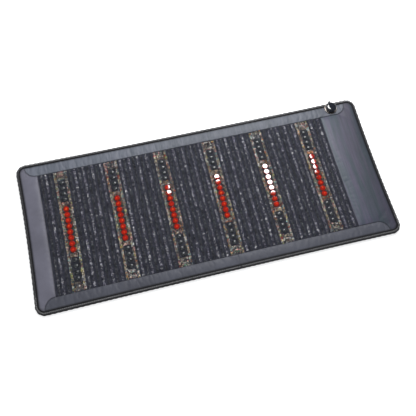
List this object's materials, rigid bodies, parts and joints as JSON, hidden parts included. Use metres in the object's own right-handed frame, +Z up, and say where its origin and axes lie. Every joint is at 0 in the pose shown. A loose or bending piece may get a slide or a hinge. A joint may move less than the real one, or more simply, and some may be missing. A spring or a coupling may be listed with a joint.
{
  "type": "infrared gemstone heating mat",
  "caption": "Flat padded infrared heating mat with ribs of gemstone chips, lit round crystals, leather-look borders and a round power connector. Its ends fold over the middle.",
  "frame": {"origin": "centre of the mat's underside, on the floor it lies on", "axes": "+X along the mat to the head end with the wide border, +Y to the rear edge with the power connector, +Z up"},
  "size_m": [1.93, 0.82, 0.051],
  "materials": {
    "cover_leather": "matte",
    "shield_foil": "satin",
    "felt": "matte",
    "foam": "matte",
    "heating_wire": "satin",
    "led_board": "satin",
    "panel_mesh": "matte",
    "amethyst": "satin",
    "tourmaline": "satin",
    "mixed_chips": "satin",
    "photon_crystal": "polished",
    "obsidian": "polished",
    "border_leather": "satin",
    "binding_tape": "matte",
    "flange_metal": "satin",
    "dome_plastic": "polished",
    "gasket_rubber": "matte",
    "backplate_metal": "satin",
    "screw_steel": "satin",
    "socket_plastic": "satin",
    "pin_brass": "satin",
    "cable_rubber": "matte",
    "sensor_ceramic": "satin",
    "fuse_metal": "satin"
  },
  "bodies": {
    "foot": {"foot_bottom_cover": "cover_leather", "foot_shielding_foil": "shield_foil", "foot_insulation_felt": "felt", "foot_foam_pad": "foam", "foot_heating_wire": "heating_wire", "foot_led_strips": "led_board", "foot_stone_panel": "panel_mesh", "foot_amethyst_ribs": "amethyst", "foot_tourmaline_ribs": "tourmaline", "foot_mixed_chip_rows": "mixed_chips", "foot_photon_crystals": "photon_crystal", "foot_obsidian_stones": "obsidian", "foot_front_border": "border_leather", "foot_rear_border": "border_leather", "foot_edge_binding": "binding_tape", "foot_end_border": "border_leather"},
    "middle": {"middle_bottom_cover": "cover_leather", "middle_shielding_foil": "shield_foil", "middle_insulation_felt": "felt", "middle_foam_pad": "foam", "middle_heating_wire": "heating_wire", "middle_led_strips": "led_board", "middle_stone_panel": "panel_mesh", "middle_amethyst_ribs": "amethyst", "middle_tourmaline_ribs": "tourmaline", "middle_mixed_chip_rows": "mixed_chips", "middle_photon_crystals": "photon_crystal", "middle_obsidian_stones": "obsidian", "middle_front_border": "border_leather", "middle_rear_border": "border_leather", "middle_edge_binding": "binding_tape"},
    "head": {"head_bottom_cover": "cover_leather", "head_shielding_foil": "shield_foil", "head_insulation_felt": "felt", "head_foam_pad": "foam", "head_heating_wire": "heating_wire", "head_led_strips": "led_board", "head_stone_panel": "panel_mesh", "head_amethyst_ribs": "amethyst", "head_tourmaline_ribs": "tourmaline", "head_mixed_chip_rows": "mixed_chips", "head_photon_crystals": "photon_crystal", "head_obsidian_stones": "obsidian", "head_front_border": "border_leather", "head_rear_border": "border_leather", "head_edge_binding": "binding_tape", "head_end_border": "border_leather", "connector_flange": "flange_metal", "connector_dome": "dome_plastic", "connector_gasket": "gasket_rubber", "connector_backplate": "backplate_metal", "connector_screws": "screw_steel", "connector_socket": "socket_plastic", "connector_pins": "pin_brass", "wiring_harness": "cable_rubber", "temperature_sensor": "sensor_ceramic", "thermal_fuse": "fuse_metal"}
  },
  "joints": [
    {"name": "foot_fold", "type": "hinge", "parent": "middle", "child": "foot", "pos_m": [-0.32957, 0, 0.0285], "axis": [0, 1, 0], "range_deg": [0, 179.9]},
    {"name": "head_fold", "type": "hinge", "parent": "middle", "child": "head", "pos_m": [0.48823, 0, 0.05475], "axis": [0, -1, 0], "range_deg": [0, 179.9]}
  ]
}
